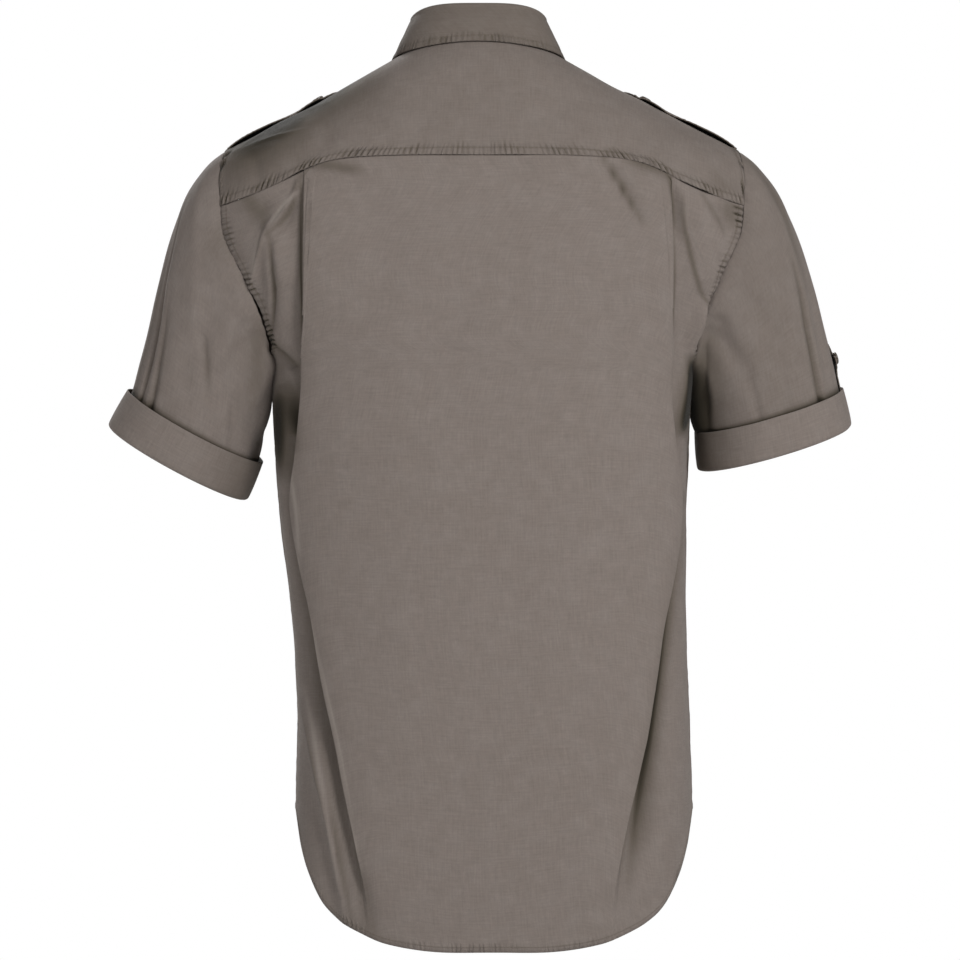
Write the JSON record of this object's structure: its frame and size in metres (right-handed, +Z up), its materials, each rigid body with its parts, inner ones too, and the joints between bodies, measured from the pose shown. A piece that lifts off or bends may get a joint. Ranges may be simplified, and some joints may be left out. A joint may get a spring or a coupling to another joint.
{
  "type": "military shirt",
  "caption": "Short-sleeved military shirt, filled out as worn, with shoulder straps, turned-up cuffs, a yoke, pleated back and shirt-tail hem.",
  "frame": {"origin": "middle of the neck base, level with the side neck points", "axes": "+Z up, the front faces -Y, the wearer's left is +X"},
  "size_m": [0.6549, 0.2478, 0.8315],
  "materials": {
    "cloth": "matt taupe grey-brown plain-weave cotton and polyester",
    "button": "satin dark brown-grey"
  },
  "bodies": {
    "root": {"back_panel": "cloth", "yoke": "cloth", "front_left": "cloth", "front_right": "cloth", "placket": "cloth", "collar_stand": "cloth", "collar_fall": "cloth", "sleeve_left": "cloth", "sleeve_right": "cloth", "cuff_left": "cloth", "cuff_right": "cloth", "epaulette_left": "cloth", "epaulette_right": "cloth", "tab_left": "cloth", "tab_right": "cloth", "button_stand": "button", "button_1": "button", "button_2": "button", "button_3": "button", "button_4": "button", "button_5": "button", "button_6": "button", "button_epaulette_left": "button", "button_epaulette_right": "button", "button_tab_left": "button", "button_tab_right": "button"}
  },
  "joints": []
}
